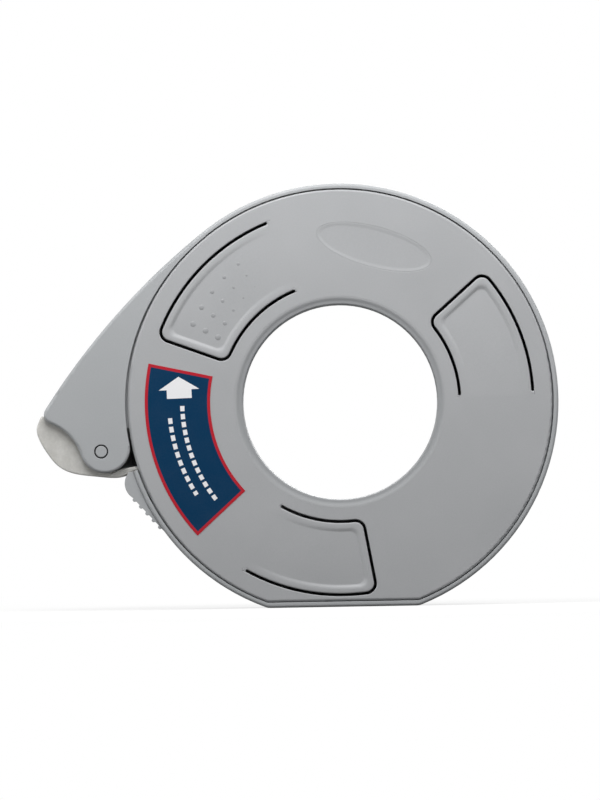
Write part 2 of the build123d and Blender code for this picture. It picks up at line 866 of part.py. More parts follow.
# Torsion spring about the pin: one leg on the post above, the other on the shoe's floor
coil_start = math.radians(shoe_leg_angle)
coil_sweep = 2 * math.pi * spring_turns - coil_start
coil_rise = spring_pitch * coil_sweep / (2 * math.pi)
with BuildPart() as shoe_spring:
    spring_plane = Plane(origin=(pin[0], -spring_set, pin[1]), z_dir=(0, -1, 0), x_dir=(1, 0, 0))
    with BuildLine(spring_plane) as coil_line:
        leg_start = (
            coil_radius * math.cos(coil_start) + shoe_leg * math.sin(coil_start),
            coil_radius * math.sin(coil_start) - shoe_leg * math.cos(coil_start),
            0,
        )
        Line(leg_start, (coil_radius * math.cos(coil_start), coil_radius * math.sin(coil_start), 0))
        steps = coil_steps * spring_turns
        for index in range(steps):
            arc = []
            for part in (0, 0.5, 1):
                turn = (index + part) / steps
                spot = polar(coil_radius, math.degrees(coil_start + coil_sweep * turn))
                arc.append((spot[0], spot[1], coil_rise * turn))
            ThreePointArc(*arc)
        Line((coil_radius, 0, coil_rise), (coil_radius, post_leg, coil_rise))
    with BuildSketch(Plane(origin=coil_line.line @ 0, z_dir=coil_line.line % 0)):
        Circle(spring_wire / 2)
    sweep(transition=Transition.TRANSFORMED)
shoe_spring.part.label = "shoe_spring"

# Cutter: a toothed strip on the roof's pad, held by a clamp bar and two screws
with BuildPart() as cutter_blade:
    with BuildSketch(blade_plane(seat_thickness)):
        with BuildLine():
            pitch = blade_width / blade_teeth
            points = [(-blade_length, -blade_width / 2), (-blade_length, blade_width / 2)]
            for index in range(blade_teeth):
                low = blade_width / 2 - index * pitch
                points.append((blade_reach, low))
                points.append((blade_reach + tooth_height, low - pitch / 2))
            points.append((blade_reach, -blade_width / 2))
            Polyline(*points, close=True)
        make_face()
        with Locations((-clamp_back, blade_screw_spacing / 2), (-clamp_back, -blade_screw_spacing / 2)):
            Circle(blade_screw_radius + blade_screw_fit, mode=Mode.SUBTRACT)
    extrude(amount=blade_thickness)
cutter_blade.part.label = "cutter_blade"

with BuildPart() as blade_clamp:
    with BuildSketch(blade_plane(seat_thickness + blade_thickness)):
        with Locations((-clamp_back, 0)):
            Rectangle(clamp_length, blade_width - clamp_thickness)
        with Locations((-clamp_back, blade_screw_spacing / 2), (-clamp_back, -blade_screw_spacing / 2)):
            Circle(blade_screw_radius + blade_screw_fit, mode=Mode.SUBTRACT)
    extrude(amount=clamp_thickness)
    chamfer(blade_clamp.edges().filter_by(Axis.Y).sort_by(Axis.Z)[:2], clamp_thickness / 4)
blade_clamp.part.label = "blade_clamp"

with BuildPart() as blade_screws:
    with BuildSketch(blade_plane(seat_thickness + blade_thickness + clamp_thickness)):
        with Locations((-clamp_back, blade_screw_spacing / 2), (-clamp_back, -blade_screw_spacing / 2)):
            Circle(blade_screw_head)
    extrude(amount=blade_screw_head_height)
    with BuildSketch(blade_plane(seat_thickness + blade_thickness + clamp_thickness)):
        with Locations((-clamp_back, blade_screw_spacing / 2), (-clamp_back, -blade_screw_spacing / 2)):
            Circle(blade_screw_radius)
    extrude(amount=-blade_screw_length)
blade_screws.part.label = "blade_screws"

# Sticker on the cover, below the brake tab
with BuildPart() as push_label:
    with BuildSketch(at(half_depth)):
        Circle(label_outer_radius)
        Circle(label_inner_radius, mode=Mode.SUBTRACT)
        add(wedge(label_start_angle, label_end_angle), mode=Mode.INTERSECT)
    extrude(amount=label_thickness)
push_label.part.label = "push_label"

pieces = (
    front_housing,
    rear_housing,
    housing_screws,
    thumb_grip,
    front_cover,
    brake_tab,
    right_guide_tab,
    lower_guide_tab,
    push_label,
    applicator_shoe,
    shoe_pin,
    shoe_spring,
    cutter_blade,
    blade_clamp,
    blade_screws,
)
for piece in pieces:
    export_step(piece.part, "parts/" + piece.part.label + ".step")
    print(piece.part.label, piece.part.is_valid, len(piece.part.solids()), round(piece.part.volume))
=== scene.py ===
from math import acos, asin, cos, pi, radians, sin

import bmesh
import bpy
from mathutils import Matrix, Vector


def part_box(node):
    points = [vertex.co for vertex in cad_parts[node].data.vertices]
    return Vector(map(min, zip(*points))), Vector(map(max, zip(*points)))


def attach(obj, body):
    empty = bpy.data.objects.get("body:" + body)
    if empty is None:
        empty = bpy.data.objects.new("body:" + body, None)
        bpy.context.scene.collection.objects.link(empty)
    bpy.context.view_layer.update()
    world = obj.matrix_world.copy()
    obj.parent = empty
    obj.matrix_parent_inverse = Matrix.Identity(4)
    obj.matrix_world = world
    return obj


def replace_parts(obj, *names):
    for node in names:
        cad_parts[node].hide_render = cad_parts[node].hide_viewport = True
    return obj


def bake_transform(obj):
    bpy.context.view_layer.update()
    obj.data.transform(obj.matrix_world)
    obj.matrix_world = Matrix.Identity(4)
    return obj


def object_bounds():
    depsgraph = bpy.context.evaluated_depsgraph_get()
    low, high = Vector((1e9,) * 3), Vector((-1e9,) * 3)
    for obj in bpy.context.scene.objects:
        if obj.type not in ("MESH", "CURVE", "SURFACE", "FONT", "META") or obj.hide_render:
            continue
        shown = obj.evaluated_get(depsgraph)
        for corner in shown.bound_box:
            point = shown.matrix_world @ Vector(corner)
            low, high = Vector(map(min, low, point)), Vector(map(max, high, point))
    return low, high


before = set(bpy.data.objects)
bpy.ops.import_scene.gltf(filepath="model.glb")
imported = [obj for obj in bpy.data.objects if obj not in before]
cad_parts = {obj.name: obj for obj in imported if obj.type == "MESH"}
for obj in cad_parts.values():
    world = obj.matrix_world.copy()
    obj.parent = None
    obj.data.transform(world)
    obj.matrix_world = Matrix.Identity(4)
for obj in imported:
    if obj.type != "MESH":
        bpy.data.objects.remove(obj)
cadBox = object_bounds()
scene = bpy.context.scene
mm = 0.001
sharpAngle = 40  # degrees; a smooth surface breaks at a steeper edge
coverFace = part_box("front_cover")[0].y  # the plane that faces the camera


class Wire:
    # one socket of a node tree; sums on wires add Math nodes
    def __init__(self, tree, socket=None):
        self.tree = tree
        self.socket = socket

    def add(self, kind, settings=None, sockets=None, out=0):
        node = self.tree.nodes.new(kind)
        for name, value in (settings or {}).items():
            setattr(node, name, value)
        for name, value in (sockets or {}).items():
            if isinstance(value, Wire):
                self.tree.links.new(value.socket, node.inputs[name])
            else:
                node.inputs[name].default_value = value
        return Wire(self.tree, node.outputs[out] if node.outputs else None)

    def math(self, operation, first, second=0.0):
        return self.add("ShaderNodeMath", {"operation": operation}, {0: first, 1: second})

    def __add__(self, other):
        return self.math("ADD", self, other)

    def __radd__(self, other):
        return self.math("ADD", other, self)

    def __sub__(self, other):
        return self.math("SUBTRACT", self, other)

    def __rsub__(self, other):
        return self.math("SUBTRACT", other, self)

    def __mul__(self, other):
        return self.math("MULTIPLY", self, other)

    def __rmul__(self, other):
        return self.math("MULTIPLY", other, self)

    def __truediv__(self, other):
        return self.math("DIVIDE", self, other)

    def __abs__(self):
        return self.math("ABSOLUTE", self)

    def floor(self):
        return self.math("FLOOR", self)

    def least(self, other):
        return self.math("MINIMUM", self, other)

    def most(self, other):
        return self.math("MAXIMUM", self, other)

    def step(self, low, high):
        # 0 below low, 1 above high, smooth between
        limits = {"Value": self, "From Min": low, "From Max": high}
        return self.add("ShaderNodeMapRange", {"interpolation_type": "SMOOTHSTEP"}, limits)


def mixColours(amount, first, second):
    settings = {"data_type": "RGBA", "clamp_factor": True}
    return amount.add("ShaderNodeMix", settings, {0: amount, 6: first, 7: second}, out=2)


def grey(level):
    return (level, level, level, 1.0)


def rgb(red, green, blue):
    # the photograph's 0..255 value as the light that it stands for
    def linear(value):
        value = value / 255
        return value / 12.92 if value < 0.04045 else ((value + 0.055) / 1.055) ** 2.4

    return (linear(red), linear(green), linear(blue), 1.0)


def newMaterial(name):
    material = bpy.data.materials.new(name)
    material.use_nodes = True
    tree = material.node_tree
    tree.nodes.clear()
    coords = Wire(tree).add("ShaderNodeTexCoord", out=3)  # Object coordinates
    return material, coords


def finishMaterial(material, coords, sockets):
    shader = coords.add("ShaderNodeBsdfPrincipled", {}, sockets)
    coords.add("ShaderNodeOutputMaterial", {}, {"Surface": shader})
    return material


def noise(coords, size, detail=2.0, roughness=0.5):
    # size is the width of one blotch, in metres
    sockets = {"Vector": coords, "Scale": 1 / size, "Detail": detail, "Roughness": roughness}
    return coords.add("ShaderNodeTexNoise", {}, sockets)


def bump(coords, height, depth, strength=1.0, edge=0.0):
    # edge is the radius that the shading gives to sharp corners
    sockets = {"Height": height, "Distance": depth, "Strength": strength}
    if edge:
        sockets["Normal"] = coords.add("ShaderNodeBevel", {"samples": 6}, {"Radius": edge})
    return coords.add("ShaderNodeBump", {}, sockets)


def mouldedPlastic(name, look):
    # spark-eroded grain, faint flow marks, and a sheen that wanders a little
    material, coords = newMaterial(name)
    flow = noise(coords, look["flowSize"], detail=3)
    speckle = noise(coords, look["speckleSize"], detail=1)
    tone = (flow - 0.5) * look["flowAmount"] + (speckle - 0.5) * look["speckleAmount"] + 0.5
    colour = mixColours(tone, look["dark"], look["light"])
    # painted shade: the pin's groove is darkened in the base colour
    if "groove" in look:
        colour = mixColours(grooveMask(coords, look["groove"]), colour, look["groove"]["colour"])
    # painted shade: the hub's sunk step is darkened in the base colour
    if "hub" in look:
        colour = mixColours(hubMask(coords, look["hub"]), colour, look["hub"]["colour"])
    grain = noise(coords, look["grainSize"], detail=2, roughness=0.6)
    roughness = (noise(coords, look["sheenSize"]) - 0.5) * look["sheenAmount"] + look["roughness"]
    sockets = {
        "Base Color": colour,
        "Roughness": roughness,
        "IOR": look["ior"],
        "Normal": bump(coords, grain, look["grainDepth"], look["grainStrength"], look["edge"]),
    }
    if "milky" in look:
        sockets["Subsurface Weight"] = look["milky"]
        sockets["Subsurface Radius"] = look["milkColour"]
        sockets["Subsurface Scale"] = look["milkDepth"]
    return finishMaterial(material, coords, sockets)


def splitPlace(coords):
    # across, depth and rise of the shaded point
    place = coords.add("ShaderNodeSeparateXYZ", {}, {"Vector": coords})
    return [Wire(place.tree, place.socket.node.outputs[axis]) for axis in range(3)]


def radiusOf(across, rise):
    return across.math("SQRT", across * across + rise * rise)


def grooveMask(coords, groove):
    # painted shade: the narrow groove round the pin's end is painted near black, for the shade in that gap
    across, depth, rise = splitPlace(coords)
    radius = radiusOf(across - groove["pin"][0], rise - groove["pin"][1])
    inGroove = 1 - radius.step(groove["radius"], groove["radius"] + groove["blur"])
    below = depth - (coverFace + groove["below"])
    inFront = 1 - (depth / mm).step(*groove["backEnd"])
    return inGroove * below.step(0.0, groove["fall"]) * inFront


def hubMask(coords, hub):
    # painted shade: the sunk step inside the hub's lip is painted darker than the cover, for the shade in
    # that recess
    across, _, rise = splitPlace(coords)
    return 1 - radiusOf(across, rise).step(hub["dark"], hub["plain"])


pinPlace = (-85.045 * mm, -16.177 * mm)  # across and up; the shoe's axis
# painted shade: near black at the bottom of the pin's groove
pinGrooveShade = {
    "pin": pinPlace,
    "radius": 2.5 * mm,
    "blur": 0.05 * mm,
    "below": 0.22 * mm,
    "fall": 0.1 * mm,
    "backEnd": (-20.0, -19.0),  # millimetres; the groove is in the front cheek alone
    "colour": grey(0.012),
}
greyShell = {
    "dark": rgb(157, 160, 162),
    "light": rgb(180, 182, 184),
    "flowSize": 30 * mm,
    "flowAmount": 0.5,
    "speckleSize": 0.5 * mm,
    "speckleAmount": 0.35,
    "grainSize": 0.55 * mm,
    "grainDepth": 0.02 * mm,
    "grainStrength": 0.25,
    "edge": 0.35 * mm,
    "roughness": 0.5,
    "sheenSize": 12 * mm,
    "sheenAmount": 0.12,
    "ior": 1.49,
}
greyCover = {**greyShell, "dark": rgb(158, 160, 162), "light": rgb(181, 182, 184)}
greySkin = {**greyCover, "edge": 0.0}
# painted shade: the dots are a darker grey than the cover, for the shade they show
greyDotsShade = {**greySkin, "dark": rgb(143, 145, 147), "light": rgb(166, 167, 169)}
# painted shade on the hub's sunk step
hubShade = {"dark": 36.2 * mm, "plain": 37.5 * mm, "colour": rgb(151, 153, 155)}
frostedShoe = {
    **greyCover,
    "dark": rgb(186, 185, 181),
    "light": rgb(219, 218, 214),
    "milky": 0.5,
    "milkDepth": 2.2 * mm,
    "milkColour": (1.0, 0.97, 0.9),
    "flowSize": 3.0 * mm,
    "flowAmount": 1.0,
    "speckleSize": 0.8 * mm,
    "speckleAmount": 0.5,
    "grainSize": 0.5 * mm,
    "grainDepth": 0.015 * mm,
    "grainStrength": 0.5,
    "roughness": 0.42,
    "sheenSize": 3 * mm,
    "sheenAmount": 0.2,
}


def steelFinish(name, look):
    # fine lines along one axis, with a mottled sheen
    material, coords = newMaterial(name)
    stretched = coords.add("ShaderNodeMapping", {}, {"Vector": coords, "Scale": look["stretch"]})
    lines = noise(stretched, look["lineSize"], detail=3, roughness=0.6)
    cloud = noise(coords, look["cloudSize"])
    tone = (lines - 0.5) * look["lineAmount"] + (cloud - 0.5) * look["cloudAmount"] + 0.5
    return finishMaterial(material, coords, {
        "Base Color": mixColours(tone, look["dark"], look["light"]),
        "Metallic": 1.0,
        "Roughness": (lines - 0.5 + (cloud - 0.5)) * look["sheenAmount"] + look["roughness"],
        "Normal": bump(coords, lines, look["lineDepth"], look["lineStrength"]),
    })


rolledStrip = {
    "dark": grey(0.42),
    "light": grey(0.68),
    "stretch": (1.0, 0.06, 1.0),
    "lineSize": 0.25 * mm,
    "lineAmount": 0.8,
    "lineDepth": 0.01 * mm,
    "lineStrength": 0.5,
    "cloudSize": 5 * mm,
    "cloudAmount": 0.5,
    "roughness": 0.3,
    "sheenAmount": 0.2,
}
zincPlate = {
    **rolledStrip,
    "dark": grey(0.36),
    "light": grey(0.58),
    "stretch": (1.0, 1.0, 1.0),
    "roughness": 0.38,
}

# angles in degrees, turned from +X
sticker = {
    "innerRadius": 46.1 * mm,
    "outerRadius": 69.3 * mm,
    "start": 167.7,
    "end": 222.2,
    "edge": 1.06 * mm,
    "blue": rgb(2, 52, 86),
    "red": rgb(184, 36, 50),
    "white": rgb(240, 240, 242),
    "blur": 0.05 * mm,
    "tip": (-57.2 * mm, 9.9 * mm),  # of the arrow
    "lean": 1.7,
    "headHeight": 4.6 * mm,
    "headHalf": 7.22 * mm,
    "shaftEnd": 7.7 * mm,
    "shaftHalf": 4.4 * mm,
    "rows": ((60.6 * mm, 184.5, 212.0), (56.0 * mm, 180.5, 217.5)),  # radius, start and end
    "dash": 2.9,
    "dashShare": 0.66,
    "dashHeight": 1.5 * mm,
    "fibreSize": 0.6 * mm,
    "fibreFade": 0.05,
    "fibreDepth": 0.01 * mm,
    "fibreStrength": 0.3,
    "shadeSize": 9 * mm,
    "shadeFade": 0.04,
    "fade": 0.006,
    "fadeColour": grey(0.25),
    "roughness": 0.5,
    "sheenAmount": 0.2,
    "gloss": 0.12,
}


def printedFilm(name, look):
    # red edge, blue field, an arrow towards the tab and two rows of plain dashes
    material, coords = newMaterial(name)
    across, _, rise = splitPlace(coords)
    radius = radiusOf(across, rise)
    # measured from the -X axis, so that nothing wraps inside the sticker
    angle = across.math("ARCTAN2", 0 - rise, 0 - across)
    start, end = radians(look["start"]) - pi, radians(look["end"]) - pi
    ends = ((angle - start) * radius).least((end - angle) * radius)
    sides = (radius - look["innerRadius"]).least(look["outerRadius"] - radius)
    inside = ends.least(sides)
    blur = look["blur"]
    field = inside.step(look["edge"] - blur, look["edge"] + blur)

    lean = radians(look["lean"])
    fromTip = (across - look["tip"][0], rise - look["tip"][1])
    side = abs(fromTip[0] * cos(lean) + fromTip[1] * sin(lean))
    down = fromTip[0] * sin(lean) - fromTip[1] * cos(lean)
    slope = look["headHalf"] / look["headHeight"]
    head = (down * slope - side).least((look["headHeight"] - down) * slope)
    shaft = (look["shaftHalf"] - side).least(look["shaftEnd"] - down)
    shaft = shaft.least(down - look["headHeight"] + blur)
    mark = head.most(shaft).step(-blur, blur)

    pitch, halfDash = radians(look["dash"]), look["dashShare"] / 2
    for rowRadius, rowStart, rowEnd in look["rows"]:
        start, end = radians(rowStart) - pi, radians(rowEnd) - pi
        turn = (angle - start) / pitch
        share = turn - turn.floor()
        dash = (halfDash - abs(share - halfDash)) * (pitch * rowRadius)
        inRow = (end - angle).least(angle - start) * rowRadius
        high = look["dashHeight"] / 2 - abs(radius - rowRadius)
        mark = mark.most(dash.least(high).least(inRow).step(-blur, blur))

    ink = mixColours(field, look["red"], mixColours(mark, look["blue"], look["white"]))
    fibre = noise(coords, look["fibreSize"], detail=3)
    shade = noise(coords, look["shadeSize"])
    worn = (fibre - 0.5) * look["fibreFade"] + (shade - 0.5) * look["shadeFade"] + look["fade"]
    return finishMaterial(material, coords, {
        "Base Color": mixColours(worn, ink, look["fadeColour"]),
        "Roughness": (shade - 0.5) * look["sheenAmount"] + look["roughness"],
        "Specular IOR Level": look["gloss"],
        "Normal": bump(coords, fibre, look["fibreDepth"], look["fibreStrength"]),
    })


# the shell's plastic carries the painted shade in the pin's groove
shellPlastic = mouldedPlastic("shellPlastic", {**greyShell, "groove": pinGrooveShade})
coverPlastic = mouldedPlastic("coverPlastic", greyCover)
# painted shade on the brake tab's dots
dotShadePlastic = mouldedPlastic("dotShadePlastic", greyDotsShade)
skinPlastic = mouldedPlastic("skinPlastic", greySkin)
# the lip's plastic carries the painted shade on the hub's step
lipShadedPlastic = mouldedPlastic("lipShadedPlastic", {**greySkin, "hub": hubShade})
shoePlastic = mouldedPlastic("shoePlastic", frostedShoe)
labelPrint = printedFilm("labelPrint", sticker)
bladeSteel = steelFinish("bladeSteel", rolledStrip)
platedSteel = steelFinish("platedSteel", zincPlate)

nodeFinish = {
    "front_housing": shellPlastic,
    "rear_housing": shellPlastic,
    "thumb_grip": shellPlastic,
    "shoe_pin": shellPlastic,
    "front_cover": coverPlastic,
    "brake_tab": coverPlastic,
    "right_guide_tab": coverPlastic,
    "lower_guide_tab": coverPlastic,
    "applicator_shoe": shoePlastic,
    "push_label": labelPrint,
    "cutter_blade": bladeSteel,
    "blade_clamp": platedSteel,
    "blade_screws": platedSteel,
    "housing_screws": platedSteel,
    "shoe_spring": platedSteel,
}
for nodeName, finish in nodeFinish.items():
    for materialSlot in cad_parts[nodeName].material_slots:
        materialSlot.material = finish
print("materials")


# the slit's own middle line has the two radii; border is the flat strip along the slit, slope the wall
# that falls to the dish's floor, and the foot values shape that wall's lower end
slits = {
    "innerRadius": 42.5 * mm,
    "outerRadius": 68.5 * mm,
    "width": 1.05 * mm,
    "cornerRadius": 3.5 * mm,
    "shoulder": 1.4 * mm,
    "wall": 2.0 * mm,
    "edgeRound": 0.35 * mm,
    "border": 0.9 * mm,
    "slope": 2.5 * mm,
    "dishDepth": 0.7 * mm,
    "dishCorner": 2.6 * mm,
    "footShare": 0.88,
    "footLean": 1.9,
    "footLift": 0.03,
    "edgeRings": 4,
    "slopeRings": 12,
    "arcSteps": 72,
    "cornerSteps": 10,
    "sideSteps": 16,
    "notchSteps": 10,
    "rootSteps": 2,
    "merge": 0.0001 * mm,
}


def polar(radius, angle):
    return Vector((radius * cos(angle), radius * sin(angle)))


def eased(share):
    # 0 to 1 with a soft start and end
    return share * share * (3 - 2 * share)


def tabRing(tab, inset, notched):
    # one closed-but-for-the-root line of the tab, this far inside its slit's edge
    root, free = radians(tab["root"]), radians(tab["free"])
    half = slits["width"] / 2
    tipAngle = root + 2 * slits["shoulder"] / (slits["innerRadius"] + slits["outerRadius"])
    margin = half + inset
    corner = max(slits["cornerRadius"] - margin, slits["dishCorner"])

    def side(centreRadius, away):
        # from the root line to the corner's end; away is -1 at the hub side and 1 at the rim side
        edge = centreRadius - away * margin
        points = []
        if notched:
            reach = half + inset
            first = acos(half / reach)
            shoulderRadius = centreRadius + away * half
            crossing = tipAngle - asin(reach * sin(first) / shoulderRadius)
            for step in range(slits["rootSteps"] + 1):
                points.append(polar(shoulderRadius, root + (crossing - root) * step / slits["rootSteps"]))
            tip = polar(centreRadius, tipAngle)
            outward, onward = polar(1, tipAngle), polar(1, tipAngle + pi / 2)
            for step in range(1, slits["notchSteps"] + 1):
                turn = first + (pi - first) * step / slits["notchSteps"]
                points.append(tip + outward * (away * reach * cos(turn)) - onward * (reach * sin(turn)))
        else:
            points += [polar(edge, root)] * (slits["rootSteps"] + 1)
            for step in range(1, slits["notchSteps"] + 1):
                points.append(polar(edge, root + (tipAngle - root) * step / slits["notchSteps"]))
        cornerRadius = edge - away * corner
        cornerAngle = free - asin((margin + corner) / cornerRadius)
        for step in range(1, slits["arcSteps"] + 1):
            points.append(polar(edge, tipAngle + (cornerAngle - tipAngle) * step / slits["arcSteps"]))
        centre = polar(cornerRadius, cornerAngle)
        begin = cornerAngle + (0 if away > 0 else pi)
        turn = (free + pi / 2 - begin + pi) % (2 * pi) - pi
        for step in range(1, slits["cornerSteps"] + 1):
            points.append(centre + polar(corner, begin + turn * step / slits["cornerSteps"]))
        return points

    inner = side(slits["innerRadius"], -1)
    outer = side(slits["outerRadius"], 1)
    steps = slits["sideSteps"]
    between = [inner[-1].lerp(outer[-1], step / steps) for step in range(1, steps)]
    return inner + between + outer[::-1]


def dishDepthAt(tab, spot):
    span = slits["outerRadius"] * sin(radians(tab["free"] - tab["root"]))
    onward = polar(1, radians(tab["root"] + 90))
    return max(0.0, slits["dishDepth"] * spot.dot(onward) / span)


def tabProfile():
    # inset, share of the dish's depth, depth of the rounded edge, and whether the line follows the slit's
    # round end, from the slit to the floor
    lines = []
    for ring in range(slits["edgeRings"] + 1):
        turn = pi / 2 * ring / slits["edgeRings"]
        lines.append((slits["edgeRound"] * (1 - cos(turn)), 0.0, slits["edgeRound"] * (1 - sin(turn)), True))
    for ring in range(slits["slopeRings"] + 1):
        share = ring / slits["slopeRings"]
        # a steeper foot that runs a hair past the floor, which the light catches
        run = min(share / slits["footShare"], 1.0) ** slits["footLean"]
        past = slits["footLift"] * (1 - abs(share - slits["footShare"]) / (1 - slits["footShare"]))
        lines.append((
            slits["border"] + slits["slope"] * share,
            eased(run) + max(0.0, past),
            0.0,
            False,
        ))
    return lines


def placeRing(mesh, tab, inset, share, edgeDepth, notched):
    placed = []
    for spot in tabRing(tab, inset, notched):
        depth = edgeDepth + share * dishDepthAt(tab, spot)
        place = Vector((spot.x, coverFace + depth, spot.y))
        same = placed and (placed[-1].co - place).length < slits["merge"]
        placed.append(placed[-1] if same else mesh.verts.new(place))
    return placed


def onlyOnce(verts):
    return list(dict.fromkeys(verts))


def joinRings(mesh, first, second):
    for index in range(len(first) - 1):
        corners = onlyOnce((first[index], first[index + 1], second[index + 1], second[index]))
        if len(corners) > 2:
            mesh.faces.new(corners)


def makeTab(tab):
    mesh = bmesh.new()
    profile = tabProfile()
    front = [placeRing(mesh, tab, *line) for line in profile]
    back = [placeRing(mesh, tab, 0.0, 0.0, slits["wall"], True)]
    for inset, share, edgeDepth, notched in profile[slits["edgeRings"] + 1:]:
        back.append(placeRing(mesh, tab, inset, share, slits["wall"], notched))
    for rings in (front, back):
        for first, second in zip(rings, rings[1:]):
            joinRings(mesh, first, second)
        mesh.faces.new(onlyOnce(rings[-1]))
    joinRings(mesh, front[0], back[0])
    rootLine = [ring[0] for ring in front] + [ring[-1] for ring in reversed(front)]
    rootLine += [ring[-1] for ring in back] + [ring[0] for ring in reversed(back)]
    mesh.faces.new(onlyOnce(rootLine))
    bmesh.ops.recalc_face_normals(mesh, faces=mesh.faces)
    return meshPiece(tab["name"] + "_shell", mesh, coverPlastic, tab["body"])


def meshPiece(name, mesh, material, body):
    data = bpy.data.meshes.new(name)
    mesh.to_mesh(data)
    mesh.free()
    data.shade_smooth()
    data.set_sharp_from_angle(angle=radians(sharpAngle))
    data.materials.append(material)
    piece = bpy.data.objects.new(name, data)
    scene.collection.objects.link(piece)
    if body:
        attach(piece, body)
    return piece


# degrees from +X, from the root line to the free end
tabs = (
    {"name": "brake_tab", "body": "brake", "root": 110.2, "free": 159.7},
    {"name": "right_guide_tab", "body": "right_guide", "root": 1.2, "free": 41.35},
    {"name": "lower_guide_tab", "body": "lower_guide", "root": 238.8, "free": 280.1},
)
rootSkin = {"halfWidth": 1.0 * mm, "rise": 0.012 * mm, "sunk": 0.02 * mm, "steps": 8}


def makeRootSkin(tab):
    # the tab bends here in one piece with the cover, so a skin runs on over the line between the two
    mesh = bmesh.new()
    outward, onward = polar(1, radians(tab["root"])), polar(1, radians(tab["root"] + 90))
    half = slits["width"] / 2
    ends = []
    for radius in (slits["innerRadius"] + half, slits["outerRadius"] - half):
        verts = []
        for step in range(rootSkin["steps"] + 1):
            share = 2 * step / rootSkin["steps"] - 1
            spot = outward * radius + onward * (rootSkin["halfWidth"] * share)
            verts.append(mesh.verts.new((spot.x, coverFace - rootSkin["rise"] * (1 - share * share), spot.y)))
        for share in (1, -1):
            spot = outward * radius + onward * (rootSkin["halfWidth"] * share)
            verts.append(mesh.verts.new((spot.x, coverFace + rootSkin["sunk"], spot.y)))
        mesh.faces.new(verts)
        ends.append(verts + verts[:1])
    joinRings(mesh, *ends)
    bmesh.ops.recalc_face_normals(mesh, faces=mesh.faces)
    meshPiece(tab["name"] + "_root", mesh, skinPlastic, "cover")


for tab in tabs:
    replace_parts(makeTab(tab), tab["name"])
    makeRootSkin(tab)
print("spring tabs")


dots = {
    "Rows": 5,
    "Lines": 3,
    "First radius": 49.0 * mm,
    "Line pitch": 5.0 * mm,
    "Row drift": 0.45 * mm,
    "First angle": radians(151.1),
    "Row step": radians(6.4),
    "Big dot": 1.05 * mm,
    "Small dot": 0.6 * mm,
    "Hub side fade": 0.65,
    "Sunk share": 0.05,
    "Flatness": 0.2,
    "Dome segments": 24,
    "Dome rings": 16,
}


class Tree:
    # a geometry node tree with named inputs, each with its own value
    def __init__(self, name, values):
        self.tree = bpy.data.node_groups.new(name, "GeometryNodeTree")
        self.tree.interface.new_socket("Geometry", in_out="INPUT", socket_type="NodeSocketGeometry")
        self.tree.interface.new_socket("Geometry", in_out="OUTPUT", socket_type="NodeSocketGeometry")
        self.values = values
        self.sockets = {}
        for key, value in values.items():
            kind = "NodeSocketInt" if isinstance(value, int) else "NodeSocketFloat"
            self.sockets[key] = self.tree.interface.new_socket(key, in_out="INPUT", socket_type=kind)
        self.group = self.tree.nodes.new("NodeGroupInput")

    def input(self, key):
        return Wire(self.tree, self.group.outputs[key])

    def bake(self, name, geometry, material, body):
        # ends the tree, runs it once on an empty mesh and keeps the plain result
        real = geometry.add("GeometryNodeRealizeInstances", {}, {"Geometry": geometry})
        painted = real.add("GeometryNodeSetMaterial", {}, {"Geometry": real, "Material": material})
        real.add("NodeGroupOutput", {}, {"Geometry": painted})
        seed = bpy.data.objects.new(name + "_seed", bpy.data.meshes.new(name + "_seed"))
        scene.collection.objects.link(seed)
        modifier = seed.modifiers.new("nodes", "NODES")
        modifier.node_group = self.tree
        for key, value in self.values.items():
            modifier[self.sockets[key].identifier] = value
        bpy.context.view_layer.update()
        made = seed.evaluated_get(bpy.context.evaluated_depsgraph_get())
        data = bpy.data.meshes.new_from_object(made)
        seed.modifiers.remove(modifier)
        bpy.data.objects.remove(seed)
        data.name = name
        data.shade_smooth()
        piece = bpy.data.objects.new(name, data)
        scene.collection.objects.link(piece)
        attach(piece, body)
        return piece


def brakeDots():
    # rows that fan out from the hub's axis, larger towards the tab's free end
    tree = Tree("brakeDots", dots)
    rows, lines = tree.input("Rows"), tree.input("Lines")
    big, small = tree.input("Big dot"), tree.input("Small dot")
    index = rows.add("GeometryNodeInputIndex")
    row = (index / lines).floor()
    line = index - row * lines
    radius = tree.input("First radius") + line * tree.input("Line pitch") + row * tree.input("Row drift")
    angle = tree.input("First angle") - row * tree.input("Row step")
    size = big + (small - big) * row / (rows - 1)
    hubSide = (row / (rows - 1)) * (1 - line / (lines - 1))
    size = size * (1 - hubSide * tree.input("Hub side fade"))
    across = radius * angle.math("COSINE", angle)
    rise = radius * angle.math("SINE", angle)
    brake = tabs[0]
    span = slits["outerRadius"] * sin(radians(brake["free"] - brake["root"]))
    onward = polar(slits["dishDepth"] / span, radians(brake["root"] + 90))
    depth = across * onward.x + rise * onward.y + size * tree.input("Sunk share") + coverFace
    spot = rows.add("ShaderNodeCombineXYZ", {}, {"X": across, "Y": depth, "Z": rise})
    points = rows.add("GeometryNodePoints", {}, {"Count": rows * lines, "Position": spot})
    unitBall = {
        "Segments": tree.input("Dome segments"),
        "Rings": tree.input("Dome rings"),
        "Radius": 1.0,
    }
    ball = rows.add("GeometryNodeMeshUVSphere", {}, unitBall)
    flat = rows.add("ShaderNodeCombineXYZ", {}, {"X": size, "Y": size * tree.input("Flatness"), "Z": size})
    sockets = {"Points": points, "Instance": ball, "Scale": flat}
    placed = rows.add("GeometryNodeInstanceOnPoints", {}, sockets)
    return tree.bake("brake_dots", placed, dotShadePlastic, "brake")


brakeDots()
print("brake dots")


oval = {
    "centre": polar(56.23 * mm, radians(76.63)),
    "halfLength": 21.0 * mm,
    "halfHeight": 7.2 * mm,
    "lean": radians(-16.0),
    "recess": 0.4 * mm,
    "dip": 0.16 * mm,
    "shoulder": 1.7 * mm,
    "overlap": 0.02 * mm,
    "skin": 0.004 * mm,
    "rings": 8,
    "steps": 96,
}


